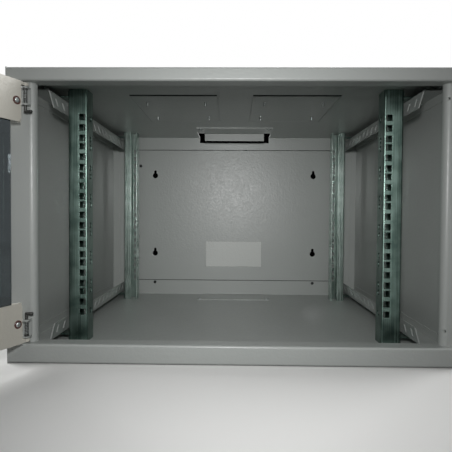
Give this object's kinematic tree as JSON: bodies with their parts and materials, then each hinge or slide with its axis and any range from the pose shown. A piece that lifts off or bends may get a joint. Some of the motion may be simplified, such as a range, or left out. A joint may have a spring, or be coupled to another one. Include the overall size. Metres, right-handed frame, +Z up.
{
  "type": "wall mount rack cabinet",
  "caption": "Wall mounted sheet steel cabinet for nineteen inch rack equipment, with square hole rails, roof fan cut-outs, cable entries and a frameless glass door",
  "frame": {"origin": "middle of the back face, which lies on the wall", "axes": "X to the right as seen from the front, Y into the wall, Z up"},
  "size_m": [0.8058, 1.018, 0.3934],
  "materials": {
    "powder_coat": "light grey textured powder coat, semi gloss",
    "zinc_plate": "zinc plated steel, satin",
    "screw_steel": "bright zinc plated screws",
    "hinge_steel": "plain plated steel",
    "spring_steel": "spring wire, satin",
    "hinge_paint": "light beige paint, semi gloss",
    "smoked_glass": "smoked safety glass, polished",
    "pad_rubber": "black rubber pads",
    "yellow_zinc": "yellow passivated zinc",
    "lock_zinc": "bright plated die casting"
  },
  "bodies": {
    "cabinet": {"roof_panel": "powder_coat", "floor_panel": "powder_coat", "side_wall_left": "powder_coat", "side_wall_right": "powder_coat", "back_panel": "powder_coat", "side_beam_upper_left": "powder_coat", "side_beam_upper_right": "powder_coat", "side_beam_lower_left": "powder_coat", "side_beam_lower_right": "powder_coat", "fan_plate_left": "powder_coat", "fan_plate_right": "powder_coat", "roof_entry_cover": "powder_coat", "floor_entry_cover": "powder_coat", "knockout_plate": "powder_coat", "rail_front_left": "zinc_plate", "rail_front_right": "zinc_plate", "rail_rear_left": "zinc_plate", "rail_rear_right": "zinc_plate", "rail_bracket_front_upper_left": "zinc_plate", "rail_bracket_front_upper_right": "zinc_plate", "rail_bracket_front_lower_left": "zinc_plate", "rail_bracket_front_lower_right": "zinc_plate", "rail_bracket_rear_upper_left": "zinc_plate", "rail_bracket_rear_upper_right": "zinc_plate", "rail_bracket_rear_lower_left": "zinc_plate", "rail_bracket_rear_lower_right": "zinc_plate", "rail_screws": "zinc_plate", "fan_screws": "screw_steel", "entry_screws": "screw_steel", "back_panel_screws": "screw_steel", "hinge_bracket_top": "hinge_steel", "hinge_bracket_bottom": "hinge_steel", "hinge_spring_top": "spring_steel", "hinge_spring_bottom": "spring_steel"},
    "door": {"door_glass": "smoked_glass", "clamp_plate_inner_top": "hinge_paint", "clamp_plate_inner_bottom": "hinge_paint", "clamp_plate_outer_top": "hinge_paint", "clamp_plate_outer_bottom": "hinge_paint", "pivot_block_top": "hinge_paint", "pivot_block_bottom": "hinge_paint", "glass_pads": "pad_rubber", "hinge_bolts": "yellow_zinc", "hinge_washers": "zinc_plate", "hinge_nuts": "zinc_plate", "lock_body": "lock_zinc", "lock_nut": "lock_zinc"},
    "lock": {"lock_core": "lock_zinc", "lock_cam": "lock_zinc", "cam_screw": "screw_steel"},
    "hinge_pin_upper": {"hinge_pin_top": "hinge_steel"},
    "hinge_pin_lower": {"hinge_pin_bottom": "hinge_steel"}
  },
  "joints": [
    {"name": "door_hinge", "type": "hinge", "parent": "cabinet", "child": "door", "pos_m": [-0.275, -0.5029, 0.004], "axis": [0, 0, 1], "range_deg": [-46, 114]},
    {"name": "lock_turn", "type": "hinge", "parent": "door", "child": "lock", "pos_m": [-0.49342, -0.99347, 0.004], "axis": [-0.9135, 0.4067, 0], "range_deg": [0, 90]},
    {"name": "upper_pin_pull", "type": "slide", "parent": "cabinet", "child": "hinge_pin_upper", "axis": [0, 0, -1], "range_m": [0, 0.005], "stiffness_N_per_m": 400, "deforming": ["hinge_spring_top"]},
    {"name": "lower_pin_pull", "type": "slide", "parent": "cabinet", "child": "hinge_pin_lower", "axis": [0, 0, 1], "range_m": [0, 0.005], "stiffness_N_per_m": 400, "deforming": ["hinge_spring_bottom"]}
  ]
}
